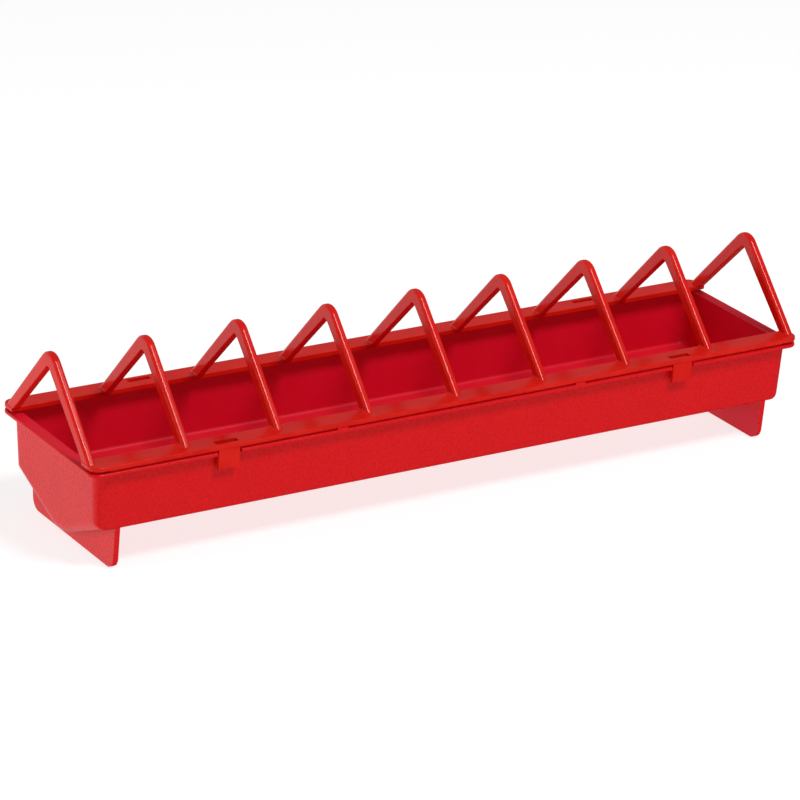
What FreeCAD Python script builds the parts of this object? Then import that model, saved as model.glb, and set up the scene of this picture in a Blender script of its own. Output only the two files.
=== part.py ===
import FreeCAD, Part
import math
import os
import Sketcher

# Trough feeder for poultry: an open trough on two foot plates and a lift-off grille.
# Units are millimetres. +X runs along the trough, +Z is up, z = 0 is the floor and
# x = y = 0 is the middle. Both parts are drawn in this one frame, grille seated.

V = FreeCAD.Vector
doc = FreeCAD.newDocument("trough_feeder")
sheet = doc.addObject("Spreadsheet::Sheet", "dims")

SIZES = [
    # trough: outer walls and vee-shaped bottom
    ("tub_half_length", 244.7),
    ("tub_half_width", 54.4),
    ("tub_kink_half_width", 53.2),
    ("tub_kink_height", 27.2),
    ("tub_vee_height", 4.2),
    ("tub_vee_radius", 24.0),
    ("tub_kink_radius", 2.6),
    ("tub_end_radius", 7.0),
    ("tub_end_lean", 2.9),
    ("tub_wall", 2.4),
    # trough: flange round the mouth
    ("rim_half_length", 250.0),
    ("rim_half_width", 58.8),
    ("rim_under_height", 62.7),
    ("rim_top_height", 65.0),
    ("rim_corner_radius", 7.2),
    ("rim_edge_radius", 0.8),
    # trough: notches in the flange for the snap hooks
    ("notch_half_width", 8.0),
    ("notch_inner_y", 54.9),
    # trough: lugs on the flange that keep the strips level
    ("lug_x", 84.3),
    ("lug_half_length", 3.5),
    ("lug_inner_y", 57.2),
    ("lug_outer_y", 58.5),
    ("lug_root_height", 64.0),
    ("lug_top_height", 66.5),
    ("lug_edge_radius", 0.4),
    # trough: foot plates
    ("foot_x", 230.0),
    ("foot_thickness", 3.4),
    ("foot_top_half_width", 52.8),
    ("foot_sole_half_width", 50.6),
    ("foot_corner_radius", 7.5),
    # grille: side strips
    ("strip_half_length", 249.9),
    ("strip_inner_y", 44.3),
    ("strip_outer_y", 58.8),
    ("strip_under_height", 66.6),
    ("strip_top_height", 69.3),
    ("strip_corner_radius", 7.0),
    ("strip_edge_radius", 0.6),
    ("strip_inner_edge_radius", 0.4),
    ("strip_under_edge_radius", 0.5),
    # grille: ledge under each strip that stands on the rim
    ("ledge_half_length", 238.0),
    ("ledge_inner_y", 54.7),
    ("ledge_outer_y", 56.9),
    # grille: arches
    ("arch_pitch", 61.8),
    ("arch_end_x", 247.0),
    ("arch_thickness", 5.1),
    ("arch_outer_apex", 124.6),
    ("arch_inner_apex", 112.4),
    ("arch_seat_height", 67.9),
    ("arch_outer_y", 54.05),
    ("arch_inner_y", 44.85),
    ("arch_crown_radius", 10.4),
    ("arch_crook_radius", 2.4),
    ("arch_outer_edge_radius", 1.8),
    ("arch_inner_edge_radius", 0.6),
    ("leg_foot_radius", 1.0),
    # grille: moulding slots and snap hooks
    ("hook_x", 160.6),
    ("slot_half_length", 7.6),
    ("slot_inner_y", 51.4),
    ("slot_outer_y", 55.7),
    ("hook_half_width", 7.0),
    ("hook_inner_y", 56.4),
    ("hook_outer_y", 58.2),
    ("hook_bottom_height", 54.2),
    ("barb_tip_y", 55.2),
    ("barb_top_height", 62.3),
    ("barb_lip", 0.8),
]

for row, (alias, value) in enumerate(SIZES, start=1):
    sheet.set("A%d" % row, alias)
    sheet.set("B%d" % row, str(value))
    sheet.setAlias("B%d" % row, alias)
doc.recompute()


def origin_plane(body, role):
    """The body's own origin plane with this role."""
    return [item for item in body.Origin.OriginFeatures if item.Role == role][0]


def outline_sketch(body, label, role, outlines, offset=None):
    """Closed straight-sided outlines, each corner tied to the sheet by its two expressions."""
    sketch = body.newObject("Sketcher::SketchObject", label)
    sketch.AttachmentSupport = [(origin_plane(body, role), "")]
    sketch.MapMode = "FlatFace"
    if offset:
        sketch.setExpression("AttachmentOffset.Base.z", offset)
    for corners in outlines:
        count = len(corners)
        first = sketch.GeometryCount
        turns = [2 * math.pi * index / count for index in range(count)]
        spots = [V(20 * math.cos(turn), 20 * math.sin(turn), 0) for turn in turns]
        for index in range(count):
            line = Part.LineSegment(spots[index], spots[(index + 1) % count])
            sketch.addGeometry(line, False)
        for index in range(count):
            here = first + index
            after = first + (index + 1) % count
            sketch.addConstraint(Sketcher.Constraint("Coincident", here, 2, after, 1))
        for index, across_up in enumerate(corners):
            for kind, start, text in zip(("DistanceX", "DistanceY"), spots[index], across_up):
                tie = Sketcher.Constraint(kind, -1, 1, first + index, 1, start)
                number = sketch.addConstraint(tie)
                sketch.setExpression("Constraints[%d]" % number, text)
    doc.recompute()
    return sketch


def box_outline(low_x, high_x, low_y, high_y):
    """Corner expressions of a rectangle."""
    return [(low_x, low_y), (high_x, low_y), (high_x, high_y), (low_x, high_y)]


def pad(body, label, sketch, length, both_ways=False, reverse=False):
    """A pad whose length follows the sheet."""
    feature = body.newObject("PartDesign::Pad", label)
    feature.Profile = sketch
    feature.setExpression("Length", length)
    if both_ways:
        feature.SideType = "Symmetric"
    feature.Reversed = reverse
    sketch.Visibility = False
    doc.recompute()
    return feature


def cut_through(body, label, sketch, both_ways=True):
    """A pocket through everything, which must leave less material than before."""
    before = body.Shape.Volume
    feature = body.newObject("PartDesign::Pocket", label)
    feature.Profile = sketch
    feature.Type = "ThroughAll"
    if both_ways:
        feature.SideType = "Symmetric"
    sketch.Visibility = False
    doc.recompute()
    if feature.Shape.Volume > before - 1:
        raise RuntimeError("%s removes nothing" % label)
    return feature


def edges_where(shape, wanted):
    """Names of the edges whose points along the middle all pass the test."""
    names = []
    for number, edge in enumerate(shape.Edges, start=1):
        low, high = edge.ParameterRange
        spots = [edge.valueAt(low + (high - low) * part) for part in (0.1, 0.5, 0.9)]
        if all(wanted(spot) for spot in spots):
            names.append("Edge%d" % number)
    return names


def round_edges(body, label, radius, wanted):
    """A fillet on every edge that passes the test."""
    base = body.Tip
    names = edges_where(base.Shape, wanted)
    if not names:
        raise RuntimeError("%s finds no edge" % label)
    feature = body.newObject("PartDesign::Fillet", label)
    feature.Base = (base, names)
    feature.setExpression("Radius", radius)
    doc.recompute()
    if feature.Shape.isNull() or not feature.Shape.isValid():
        raise RuntimeError("%s fails" % label)
    return feature


def size(alias):
    """The number that the sheet holds under an alias."""
    return float(sheet.get(alias))


def near(value, target, slack=0.05):
    """Whether two lengths agree."""
    return abs(value - target) < slack


def tub_solid(body, inset, top, vee_radius, kink_radius, end_radius):
    """A vee-bottomed block with leaning ends; inset is how far it lies inside the outer walls."""
    fall = "(dims.tub_kink_height - dims.tub_vee_height) / dims.tub_kink_half_width"
    vee = "dims.tub_vee_height + %s * sqrt(1 + (%s) ^ 2)" % (inset, fall)
    kink_y = "(dims.tub_kink_half_width - %s)" % inset
    kink_z = "%s + %s * %s" % (vee, fall, kink_y)
    top_y = "(dims.tub_half_width - %s)" % inset
    long = "(dims.tub_half_length - %s)" % inset
    section = [
        ("-" + top_y, top),
        ("-" + kink_y, kink_z),
        ("0", vee),
        (kink_y, kink_z),
        (top_y, top),
    ]
    profile = outline_sketch(body, body.Label + "_section", "YZ_Plane", [section])
    pad(body, body.Label + "_block", profile, "2 * " + long, both_ways=True)
    beyond = long + " + 10"
    foot = long + " - dims.tub_end_lean"
    wedges = [
        [(sign + "(" + across + ")", up) for across, up in ((long, top), (beyond, top), (beyond, "0"), (foot, "0"))]
        for sign in ("", "-")
    ]
    ends = outline_sketch(body, body.Label + "_end_wedges", "XZ_Plane", wedges)
    cut_through(body, body.Label + "_end_draft", ends)
    round_edges(body, body.Label + "_vee_round", vee_radius, lambda p: near(p.y, 0) and p.z < 15)
    inner_y = size("tub_half_width") - 5
    round_edges(
        body,
        body.Label + "_kink_round",
        kink_radius,
        lambda p: abs(p.y) > inner_y and near(p.z, size("tub_kink_height"), 3),
    )
    lid = body.Shape.BoundBox.ZMax
    end_x = size("tub_half_length") - 8
    round_edges(body, body.Label + "_end_round", end_radius, lambda p: abs(p.x) > end_x and p.z < lid - 0.1)


# The trough's cavity, drawn as a solid of its own and taken out of the trough.
cavity = doc.addObject("PartDesign::Body", "cavity")
tub_solid(
    cavity,
    "dims.tub_wall",
    "(dims.rim_top_height + 1)",
    "dims.tub_vee_radius - dims.tub_wall",
    "dims.tub_kink_radius",
    "dims.tub_end_radius - dims.tub_wall",
)

# The trough: outer walls, flange, foot plates.
trough = doc.addObject("PartDesign::Body", "trough")
tub_solid(
    trough,
    "0",
    "dims.rim_top_height",
    "dims.tub_vee_radius",
    "dims.tub_kink_radius",
    "dims.tub_end_radius",
)
rim_box = box_outline("-dims.rim_half_length", "dims.rim_half_length", "-dims.rim_half_width", "dims.rim_half_width")
rim_sketch = outline_sketch(trough, "rim_outline", "XY_Plane", [rim_box], "dims.rim_under_height")
pad(trough, "rim", rim_sketch, "dims.rim_top_height - dims.rim_under_height")
round_edges(
    trough,
    "rim_corners",
    "dims.rim_corner_radius",
    lambda p: near(abs(p.x), size("rim_half_length")) and near(abs(p.y), size("rim_half_width")),
)
foot_corners = [
    ("-dims.foot_top_half_width", "dims.tub_kink_height"),
    ("-dims.foot_sole_half_width", "0"),
    ("dims.foot_sole_half_width", "0"),
    ("dims.foot_top_half_width", "dims.tub_kink_height"),
]
foot_sketch = outline_sketch(trough, "foot_outline", "YZ_Plane", [foot_corners], "dims.foot_x")
foot = pad(trough, "foot_right", foot_sketch, "dims.foot_thickness", both_ways=True)
mirror = trough.newObject("PartDesign::Mirrored", "foot_left")
mirror.Originals = [foot]
mirror.MirrorPlane = (origin_plane(trough, "YZ_Plane"), [""])
trough.Tip = mirror
doc.recompute()
round_edges(
    trough,
    "foot_corner_rounds",
    "dims.foot_corner_radius",
    lambda p: near(p.z, 0) and near(abs(p.y), size("foot_sole_half_width")),
)
hollow = trough.newObject("PartDesign::Boolean", "hollow")
hollow.setObjects([cavity])
hollow.Type = "Cut"
doc.recompute()
trough.Tip = hollow
notches = [
    box_outline(x + " - dims.notch_half_width", x + " + dims.notch_half_width", low, high)
    for x in ("-dims.hook_x", "dims.hook_x")
    for low, high in (
        ("dims.notch_inner_y", "dims.rim_half_width + 2"),
        ("-dims.rim_half_width - 2", "-dims.notch_inner_y"),
    )
]
notch_sketch = outline_sketch(trough, "notch_outlines", "XY_Plane", notches)
cut_through(trough, "notches", notch_sketch)
round_edges(
    trough,
    "rim_edges",
    "dims.rim_edge_radius",
    lambda p: (near(p.z, size("rim_under_height")) or near(p.z, size("rim_top_height")))
    and (abs(p.x) > size("rim_half_length") - 7.5 or abs(p.y) > size("rim_half_width") - 0.05)
    and (abs(p.x) > size("rim_half_length") - 0.05 or abs(p.y) > size("rim_half_width") - 7.5)
    and not (abs(p.y) < size("rim_half_width") - 0.05 and abs(p.x) < size("rim_half_length") - 7.3),
)
lugs = [
    box_outline(x + " - dims.lug_half_length", x + " + dims.lug_half_length", low, high)
    for x in ("-dims.lug_x", "dims.lug_x")
    for low, high in (
        ("dims.lug_inner_y", "dims.lug_outer_y"),
        ("-dims.lug_outer_y", "-dims.lug_inner_y"),
    )
]
lug_sketch = outline_sketch(trough, "lug_outlines", "XY_Plane", lugs, "dims.lug_root_height")
pad(trough, "lugs", lug_sketch, "dims.lug_top_height - dims.lug_root_height")
round_edges(
    trough,
    "lug_edges",
    "dims.lug_edge_radius",
    lambda p: near(p.z, size("lug_top_height"), 0.001) and near(abs(p.y), size("lug_outer_y"), 0.001),
)

# The nine arches, which the grille takes in as one piece with its strips.
arches = doc.addObject("PartDesign::Body", "arches")
arches.AllowCompound = True
arch_corners = [
    ("0", "dims.arch_outer_apex"),
    ("-dims.arch_outer_y", "dims.arch_seat_height"),
    ("-dims.arch_inner_y", "dims.arch_seat_height"),
    ("0", "dims.arch_inner_apex"),
    ("dims.arch_inner_y", "dims.arch_seat_height"),
    ("dims.arch_outer_y", "dims.arch_seat_height"),
]
first_arch = outline_sketch(arches, "arch_outline", "YZ_Plane", [arch_corners], "-3 * dims.arch_pitch")
arch = pad(arches, "arch", first_arch, "dims.arch_thickness", both_ways=True)
row = arches.newObject("PartDesign::LinearPattern", "arch_row")
row.Originals = [arch]
row.Direction = (origin_plane(arches, "YZ_Plane"), [""])
row.setExpression("Length", "6 * dims.arch_pitch")
row.Occurrences = 7
arches.Tip = row
doc.recompute()
end_arch = outline_sketch(arches, "end_arch_outline", "YZ_Plane", [arch_corners], "dims.arch_end_x")
end_pad = pad(arches, "end_arch_right", end_arch, "dims.arch_thickness", both_ways=True)
opposite = arches.newObject("PartDesign::Mirrored", "end_arch_left")
opposite.Originals = [end_pad]
opposite.MirrorPlane = (origin_plane(arches, "YZ_Plane"), [""])
arches.Tip = opposite
doc.recompute()
strip_top = size("strip_top_height")
strip_under = size("strip_under_height")
outer_y = size("strip_outer_y")
inner_y = size("strip_inner_y")
crown = size("arch_outer_apex")
crook = size("arch_inner_apex")
leg_fall = (crown - size("arch_seat_height")) / size("arch_outer_y")
half_thickness = size("arch_thickness") / 2
middle_arches = [index * size("arch_pitch") for index in range(-3, 4)]
all_arches = middle_arches + [-size("arch_end_x"), size("arch_end_x")]


def on_arch_face(spot):
    """On a flat face of an arch, above the strips."""
    clear = spot.z > strip_top + 0.2
    return clear and any(near(abs(spot.x - x), half_thickness, 0.02) for x in all_arches)


def on_outer_leg(spot):
    """On an arch's outer edge, straight or round the crown."""
    return on_arch_face(spot) and spot.z > crown - leg_fall * abs(spot.y) - 5.2


def on_inner_leg(spot):
    """On an arch's inner edge, straight or round the crook."""
    return on_arch_face(spot) and spot.z < crook - leg_fall * abs(spot.y) + 4


round_edges(arches, "crowns", "dims.arch_crown_radius", lambda p: near(p.y, 0) and near(p.z, crown))
round_edges(arches, "crooks", "dims.arch_crook_radius", lambda p: near(p.y, 0) and near(p.z, crook))
round_edges(arches, "arch_outer_edges", "dims.arch_outer_edge_radius", on_outer_leg)
round_edges(arches, "arch_inner_edges", "dims.arch_inner_edge_radius", on_inner_leg)

# The grille: nine arches on two side strips, with four snap hooks.
grille = doc.addObject("PartDesign::Body", "grille")
strips = [
    box_outline("-dims.strip_half_length", "dims.strip_half_length", low, high)
    for low, high in (
        ("dims.strip_inner_y", "dims.strip_outer_y"),
        ("-dims.strip_outer_y", "-dims.strip_inner_y"),
    )
]
strip_sketch = outline_sketch(grille, "strip_outlines", "XY_Plane", strips, "dims.strip_under_height")
pad(grille, "strips", strip_sketch, "dims.strip_top_height - dims.strip_under_height")
round_edges(
    grille,
    "strip_corners",
    "dims.strip_corner_radius",
    lambda p: near(abs(p.x), size("strip_half_length")) and near(abs(p.y), outer_y),
)
round_edges(
    grille,
    "strip_top_edges",
    "dims.strip_edge_radius",
    lambda p: near(p.z, strip_top, 0.001) and near(abs(p.y), outer_y, 0.001),
)
joined = grille.newObject("PartDesign::Boolean", "arches_on_strips")
joined.setObjects([arches])
joined.Type = "Fuse"
doc.recompute()
grille.Tip = joined
ledges = [
    box_outline("-dims.ledge_half_length", "dims.ledge_half_length", low, high)
    for low, high in (
        ("dims.ledge_inner_y", "dims.ledge_outer_y"),
        ("-dims.ledge_outer_y", "-dims.ledge_inner_y"),
    )
]
ledge_sketch = outline_sketch(grille, "ledge_outlines", "XY_Plane", ledges, "dims.rim_top_height")
pad(grille, "ledges", ledge_sketch, "dims.strip_under_height - dims.rim_top_height")
hooks = [
    box_outline(x + " - dims.hook_half_width", x + " + dims.hook_half_width", low, high)
    for x in ("-dims.hook_x", "dims.hook_x")
    for low, high in (
        ("dims.hook_inner_y", "dims.hook_outer_y"),
        ("-dims.hook_outer_y", "-dims.hook_inner_y"),
    )
]
hook_sketch = outline_sketch(grille, "hook_outlines", "XY_Plane", hooks, "dims.hook_bottom_height")
pad(grille, "hooks", hook_sketch, "dims.strip_under_height - dims.hook_bottom_height")
barbs = [
    [
        (sign + "dims.hook_inner_y", "dims.barb_top_height"),
        (sign + "dims.barb_tip_y", "dims.barb_top_height"),
        (sign + "dims.barb_tip_y", "dims.barb_top_height - dims.barb_lip"),
        (sign + "dims.hook_inner_y", "dims.hook_bottom_height"),
    ]
    for sign in ("", "-")
]
barb_sketch = outline_sketch(grille, "barb_outlines", "YZ_Plane", barbs, "dims.hook_x")
barb_pad = pad(grille, "barbs_right", barb_sketch, "2 * dims.hook_half_width", both_ways=True)
barb_mirror = grille.newObject("PartDesign::Mirrored", "barbs_left")
barb_mirror.Originals = [barb_pad]
barb_mirror.MirrorPlane = (origin_plane(grille, "YZ_Plane"), [""])
grille.Tip = barb_mirror
doc.recompute()
slots = [
    box_outline(x + " - dims.slot_half_length", x + " + dims.slot_half_length", low, high)
    for x in ("-dims.hook_x", "dims.hook_x")
    for low, high in (
        ("dims.slot_inner_y", "dims.slot_outer_y"),
        ("-dims.slot_outer_y", "-dims.slot_inner_y"),
    )
]
slot_sketch = outline_sketch(grille, "slot_outlines", "XY_Plane", slots, "dims.barb_top_height")
slot_cut = grille.newObject("PartDesign::Pocket", "slots")
slot_cut.Profile = slot_sketch
slot_cut.Reversed = True
slot_cut.setExpression("Length", "dims.strip_top_height - dims.barb_top_height + 1")
slot_sketch.Visibility = False
doc.recompute()
if slot_cut.Shape.Volume > barb_mirror.Shape.Volume - 1:
    raise RuntimeError("slots remove nothing")

# Rounding of the grille below its arches.
def at_leg_foot(spot, side):
    """Where a middle arch meets the top of the strip on this side."""
    on_strip = near(spot.z, strip_top, 0.001) and size("strip_inner_y") + 0.1 < side * spot.y < 54
    return on_strip and any(abs(spot.x - x) < 3.1 for x in middle_arches)


round_edges(
    grille,
    "strip_inner_edges",
    "dims.strip_inner_edge_radius",
    lambda p: near(p.z, strip_top, 0.001) and near(abs(p.y), inner_y, 0.001),
)
round_edges(
    grille,
    "strip_under_edges",
    "dims.strip_under_edge_radius",
    lambda p: near(p.z, strip_under, 0.001) and near(abs(p.y), outer_y, 0.001),
)
round_edges(grille, "front_leg_feet", "dims.leg_foot_radius", lambda p: at_leg_foot(p, -1))
round_edges(grille, "back_leg_feet", "dims.leg_foot_radius", lambda p: at_leg_foot(p, 1))

# Nothing is written unless every feature has worked.
doc.recompute()
for item in doc.Objects:
    if "Invalid" in item.State or "Error" in item.State:
        raise RuntimeError("%s is in error" % item.Label)
os.makedirs("parts", exist_ok=True)
for node in (trough, grille):
    if node.Shape.isNull() or not node.Shape.isValid() or len(node.Shape.Solids) != 1:
        raise RuntimeError("%s is not one sound solid" % node.Label)
for node in (trough, grille):
    node.Shape.exportStep("parts/%s.step" % node.Label)
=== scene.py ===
import math

import bpy
from mathutils import Matrix, Vector


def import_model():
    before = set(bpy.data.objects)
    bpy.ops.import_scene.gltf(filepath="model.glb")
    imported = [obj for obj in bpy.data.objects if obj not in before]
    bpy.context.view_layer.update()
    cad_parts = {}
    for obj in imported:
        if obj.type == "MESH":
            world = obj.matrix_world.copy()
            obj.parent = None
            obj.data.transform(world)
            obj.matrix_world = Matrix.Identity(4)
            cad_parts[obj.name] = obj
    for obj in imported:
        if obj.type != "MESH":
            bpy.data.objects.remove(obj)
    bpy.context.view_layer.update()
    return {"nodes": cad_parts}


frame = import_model()

# The camera stands front left of the feeder and above it, and is tilted a little.
CAMERA_PLACE = Vector((-1.23838, -1.92487, 0.96458))
CAMERA_AZIMUTH = math.radians(-32.582)
CAMERA_ELEVATION = math.radians(21.836)
CAMERA_ROLL = math.radians(2.793)
CAMERA_LENS = 181.45
CAMERA_REACH = 60.0
SENSOR_WIDTH = 36.0

WHITE = (1.0, 1.0, 1.0, 1.0)
FLOOR_SIDE = 40.0
FLOOR_GREY = (0.36, 0.36, 0.36, 1.0)
FLOOR_ROUGHNESS = 0.9
FLOOR_GLOW = 0.76

# Linear colours: the trough's inner faces first, the plastic's red painted lighter and bluer
# there to lift the shade inside the trough, then the two reds of its outer grain.
TROUGH_RED_INSIDE_PAINTED_LIGHT = (0.720, 0.0032, 0.0240, 1.0)
TROUGH_RED_PALE = (0.715, 0.0036, 0.0038, 1.0)
TROUGH_RED_DEEP = (0.550, 0.0012, 0.0038, 1.0)
GRILLE_RED = (0.620, 0.0060, 0.0030, 1.0)
GRILLE_RED_PALE = (0.700, 0.0110, 0.0045, 1.0)

# The noise patterns run from 0 to 1, and most of their values lie between these two.
NOISE_LOW = 0.30
NOISE_HIGH = 0.70

# Gloss of the plastics. Each pair of roughnesses is the range across a noise pattern.
PLASTIC_IOR = 1.49
TROUGH_SPECULAR = 0.24
TROUGH_ROUGHNESS_OUT = (0.25, 0.31)
TROUGH_ROUGHNESS_IN = (0.42, 0.52)
GRILLE_SPECULAR = 0.25
GRILLE_ROUGHNESS = (0.16, 0.24)

# Bump heights in metres. Each pair is for the trough's inner faces and its outer faces.
TROUGH_WAVE = 0.0006
TROUGH_GRAIN = (0.00002, 0.00004)
TROUGH_FROST = (0.000006, 0.000008)
GRILLE_WAVE = 0.0005
GRILLE_FROST = 0.00002

# Lights: name, place, the two sides of the lamp, power in watts, seen in reflections or not.
LIGHT_TARGET = (0.0, 0.0, 0.05)
LIGHTS = (
    ("key_over", (0.40, -1.30, 2.20), (0.6, 0.6), 38.0, True),
    ("fill_left", (-2.4, 0.5, 0.7), (1.2, 1.0), 20.0, False),
    ("fill_front", (0.3, -2.8, 0.9), (1.6, 1.2), 9.0, True),
)

# Soft lobes of the room's light: direction, where the lobe starts and is full, strength.
WORLD_BASE = 0.06
WORLD_LOBES = (
    ((0.0, -0.25, 1.0), 0.20, 0.90, 0.22),
    ((-0.55, 0.80, -0.30), 0.30, 0.95, 0.82),
    ((0.50, 0.78, 0.37), 0.60, 1.00, 0.15),
)

# A point above the trough: its inner faces look towards it, its outer faces away.
INNER_POINT = (0.0, 0.0, 0.080)


class Graph:
    """Short calls that build one material's nodes."""

    def __init__(self, name):
        self.material = bpy.data.materials.new(name)
        self.material.use_nodes = True
        self.tree = self.material.node_tree
        self.tree.nodes.clear()
        output = self.tree.nodes.new("ShaderNodeOutputMaterial")
        self.shader = self.tree.nodes.new("ShaderNodeBsdfPrincipled")
        self.tree.links.new(self.shader.outputs["BSDF"], output.inputs["Surface"])
        place = self.tree.nodes.new("ShaderNodeTexCoord")
        self.place = place.outputs["Object"]
        self.normal = place.outputs["Normal"]

    def feed(self, socket, value):
        if isinstance(value, bpy.types.NodeSocket):
            self.tree.links.new(value, socket)
        else:
            socket.default_value = value

    def node(self, kind, *values, **settings):
        node = self.tree.nodes.new(kind)
        for key, value in settings.items():
            setattr(node, key, value)
        for socket, value in zip(node.inputs, values):
            if value is not None:
                self.feed(socket, value)
        return node

    def noise(self, scale, detail=2.0, stretch=(1.0, 1.0, 1.0)):
        """A cloud pattern from 0 to 1; scale counts its lumps per metre."""
        place = self.node("ShaderNodeMapping", self.place)
        place.inputs["Scale"].default_value = stretch
        node = self.node("ShaderNodeTexNoise")
        self.feed(node.inputs["Vector"], place.outputs[0])
        node.inputs["Scale"].default_value = scale
        node.inputs["Detail"].default_value = detail
        return node.outputs[0]

    def span(self, value, low, high, to_low, to_high):
        return self.node("ShaderNodeMapRange", value, low, high, to_low, to_high).outputs[0]

    def math(self, operation, first, second=0.0):
        return self.node("ShaderNodeMath", first, second, operation=operation).outputs[0]

    def blend(self, factor, first, second):
        node = self.node("ShaderNodeMix", data_type="RGBA")
        self.feed(node.inputs[0], factor)
        self.feed(node.inputs[6], first)
        self.feed(node.inputs[7], second)
        return node.outputs[2]

    def bump(self, height, distance, below=None):
        node = self.node("ShaderNodeBump")
        node.inputs["Strength"].default_value = 1.0
        self.feed(node.inputs["Distance"], distance)
        self.feed(node.inputs["Height"], height)
        if below is not None:
            self.feed(node.inputs["Normal"], below)
        return node.outputs[0]

    def outside(self):
        """1 on the outer faces of the trough and 0 on its inner faces and rim top."""
        arm = self.node("ShaderNodeVectorMath", self.place, INNER_POINT, operation="SUBTRACT")
        turn = self.node(
            "ShaderNodeVectorMath", arm.outputs[0], self.normal, operation="DOT_PRODUCT"
        )
        return self.span(turn.outputs["Value"], -0.002, 0.002, 0.0, 1.0)


def trough_material():
    """Moulded plastic with a spark-grained outer face and a smoother inside."""
    graph = Graph("trough_plastic")
    outside = graph.outside()
    grain = graph.noise(560.0, 3.0)
    fine = graph.noise(2600.0, 2.0)
    cloud = graph.noise(38.0, 3.0)
    flow = graph.noise(16.0, 2.0, (0.35, 1.0, 1.0))
    speckle = graph.span(grain, 0.20, NOISE_HIGH, 0.30, 1.0)
    tint = graph.blend(speckle, TROUGH_RED_DEEP, TROUGH_RED_PALE)
    # Painted light: the inner faces take a lighter, bluer red than the outer grain, standing in
    # for the shade and sheen inside the trough.
    tint = graph.blend(graph.math("MULTIPLY", outside, 0.90), TROUGH_RED_INSIDE_PAINTED_LIGHT, tint)
    broad = graph.blend(
        graph.span(cloud, NOISE_LOW, NOISE_HIGH, 0.0, 1.0), TROUGH_RED_DEEP, tint
    )
    tint = graph.blend(0.20, tint, broad)
    graph.feed(graph.shader.inputs["Base Color"], tint)
    rough_out = graph.span(grain, 0.20, 0.80, *TROUGH_ROUGHNESS_OUT)
    rough_in = graph.span(cloud, NOISE_LOW, NOISE_HIGH, *TROUGH_ROUGHNESS_IN)
    rough = graph.node("ShaderNodeMix", data_type="FLOAT")
    graph.feed(rough.inputs[0], outside)
    graph.feed(rough.inputs[2], rough_in)
    graph.feed(rough.inputs[3], rough_out)
    graph.feed(graph.shader.inputs["Roughness"], rough.outputs[0])
    wave = graph.bump(flow, TROUGH_WAVE)
    pitted = graph.bump(grain, graph.span(outside, 0.0, 1.0, *TROUGH_GRAIN), wave)
    frosted = graph.bump(fine, graph.span(outside, 0.0, 1.0, *TROUGH_FROST), pitted)
    graph.feed(graph.shader.inputs["Normal"], frosted)
    graph.shader.inputs["IOR"].default_value = PLASTIC_IOR
    graph.shader.inputs["Specular IOR Level"].default_value = TROUGH_SPECULAR
    return graph.material


def grille_material():
    """Glossier moulded plastic with faint flow marks."""
    graph = Graph("grille_plastic")
    fine = graph.noise(1800.0, 2.0)
    cloud = graph.noise(60.0, 3.0)
    flow = graph.noise(26.0, 2.0, (0.4, 1.0, 1.0))
    clouding = graph.span(cloud, NOISE_LOW, NOISE_HIGH, 0.0, 1.0)
    graph.feed(
        graph.shader.inputs["Base Color"], graph.blend(clouding, GRILLE_RED, GRILLE_RED_PALE)
    )
    rough = graph.span(cloud, NOISE_LOW, NOISE_HIGH, *GRILLE_ROUGHNESS)
    graph.feed(graph.shader.inputs["Roughness"], rough)
    wave = graph.bump(flow, GRILLE_WAVE)
    graph.feed(graph.shader.inputs["Normal"], graph.bump(fine, GRILLE_FROST, wave))
    graph.shader.inputs["IOR"].default_value = PLASTIC_IOR
    graph.shader.inputs["Specular IOR Level"].default_value = GRILLE_SPECULAR
    return graph.material


def floor_material():
    """Pale paper that glows a little, so that it stays white around the feeder."""
    graph = Graph("studio_floor")
    graph.shader.inputs["Base Color"].default_value = FLOOR_GREY
    graph.shader.inputs["Roughness"].default_value = FLOOR_ROUGHNESS
    graph.shader.inputs["Specular IOR Level"].default_value = 0.0
    graph.shader.inputs["Emission Color"].default_value = WHITE
    graph.shader.inputs["Emission Strength"].default_value = FLOOR_GLOW
    return graph.material


def wear(piece, material):
    """Puts material in every slot of a CAD node's object."""
    for slot in piece.material_slots:
        slot.material = material


def area_light(name, place, sides, power, reflected):
    lamp = bpy.data.lights.new(name, "AREA")
    lamp.shape = "RECTANGLE"
    lamp.size, lamp.size_y = sides
    lamp.energy = power
    light = bpy.data.objects.new(name, lamp)
    turn = (Vector(LIGHT_TARGET) - Vector(place)).to_track_quat("-Z", "Y")
    light.matrix_world = Matrix.Translation(place) @ turn.to_matrix().to_4x4()
    light.visible_glossy = reflected
    bpy.context.scene.collection.objects.link(light)


def camera():
    """The camera's axes follow from its azimuth, elevation and roll."""
    back = Vector((
        math.sin(CAMERA_AZIMUTH) * math.cos(CAMERA_ELEVATION),
        -math.cos(CAMERA_AZIMUTH) * math.cos(CAMERA_ELEVATION),
        math.sin(CAMERA_ELEVATION),
    ))
    level = (-back).cross(Vector((0.0, 0.0, 1.0))).normalized()
    lift = level.cross(-back)
    right = level * math.cos(CAMERA_ROLL) + lift * math.sin(CAMERA_ROLL)
    up = lift * math.cos(CAMERA_ROLL) - level * math.sin(CAMERA_ROLL)
    data = bpy.data.cameras.new("camera")
    data.lens = CAMERA_LENS
    data.sensor_width = SENSOR_WIDTH
    data.clip_end = CAMERA_REACH
    eye = bpy.data.objects.new("camera", data)
    eye.matrix_world = Matrix.Translation(CAMERA_PLACE) @ Matrix(
        (right, up, back)
    ).transposed().to_4x4()
    bpy.context.scene.collection.objects.link(eye)
    bpy.context.scene.camera = eye


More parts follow.
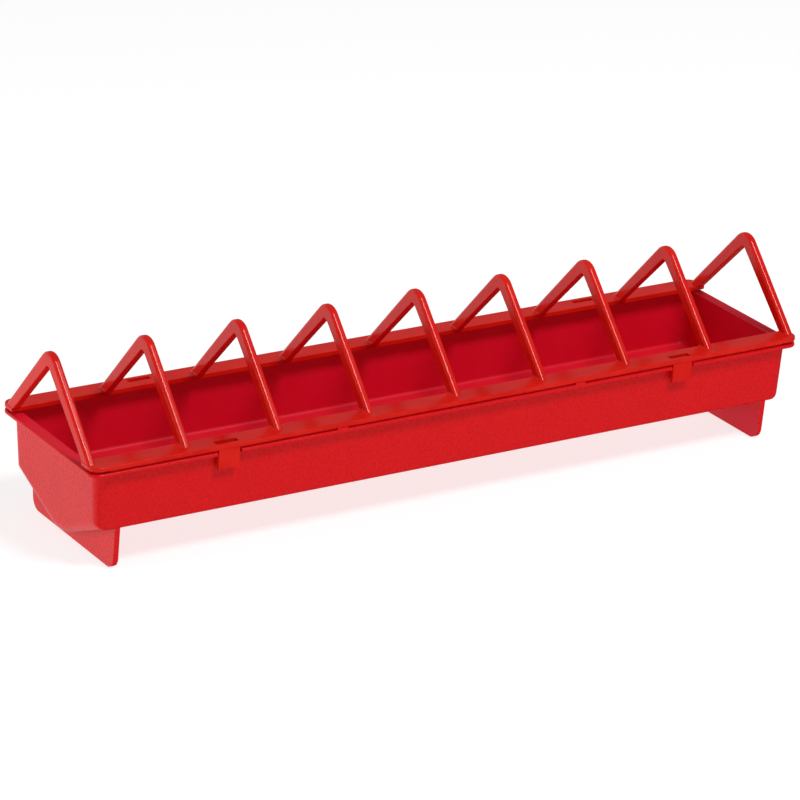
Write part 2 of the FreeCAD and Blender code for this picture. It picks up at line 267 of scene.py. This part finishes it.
def floor():
    """A wide flat floor under the feeder, left out of reflections."""
    half = FLOOR_SIDE / 2
    mesh = bpy.data.meshes.new("studio_floor")
    corners = [(-half, -half, 0.0), (half, -half, 0.0), (half, half, 0.0), (-half, half, 0.0)]
    mesh.from_pydata(corners, [], [(0, 1, 2, 3)])
    mesh.materials.append(floor_material())
    piece = bpy.data.objects.new("studio_floor", mesh)
    piece.visible_glossy = False
    bpy.context.scene.collection.objects.link(piece)


def world():
    """A pale room: dim low down in front, brighter overhead, brightest behind and to the left."""
    sky = bpy.data.worlds.new("studio")
    bpy.context.scene.world = sky
    sky.use_nodes = True
    tree = sky.node_tree
    tree.nodes.clear()
    output = tree.nodes.new("ShaderNodeOutputWorld")
    shade = tree.nodes.new("ShaderNodeBackground")
    place = tree.nodes.new("ShaderNodeTexCoord")
    total = None
    for lean, start, end, gain in WORLD_LOBES:
        dot = tree.nodes.new("ShaderNodeVectorMath")
        dot.operation = "DOT_PRODUCT"
        dot.inputs[1].default_value = Vector(lean).normalized()
        tree.links.new(place.outputs["Generated"], dot.inputs[0])
        climb = tree.nodes.new("ShaderNodeMapRange")
        climb.interpolation_type = "SMOOTHSTEP"
        climb.inputs["From Min"].default_value = start
        climb.inputs["From Max"].default_value = end
        climb.inputs["To Min"].default_value = 0.0
        climb.inputs["To Max"].default_value = gain
        tree.links.new(dot.outputs["Value"], climb.inputs["Value"])
        if total is None:
            total = climb.outputs[0]
            continue
        add = tree.nodes.new("ShaderNodeMath")
        tree.links.new(total, add.inputs[0])
        tree.links.new(climb.outputs[0], add.inputs[1])
        total = add.outputs[0]
    lift = tree.nodes.new("ShaderNodeMath")
    lift.inputs[1].default_value = WORLD_BASE
    tree.links.new(total, lift.inputs[0])
    shade.inputs["Color"].default_value = WHITE
    tree.links.new(lift.outputs[0], shade.inputs["Strength"])
    tree.links.new(shade.outputs[0], output.inputs[0])


wear(frame["nodes"]["trough"], trough_material())
wear(frame["nodes"]["grille"], grille_material())

floor()
world()
for light_row in LIGHTS:
    area_light(*light_row)
camera()

scene = bpy.context.scene
scene.view_settings.view_transform = "Standard"
scene.view_settings.look = "None"
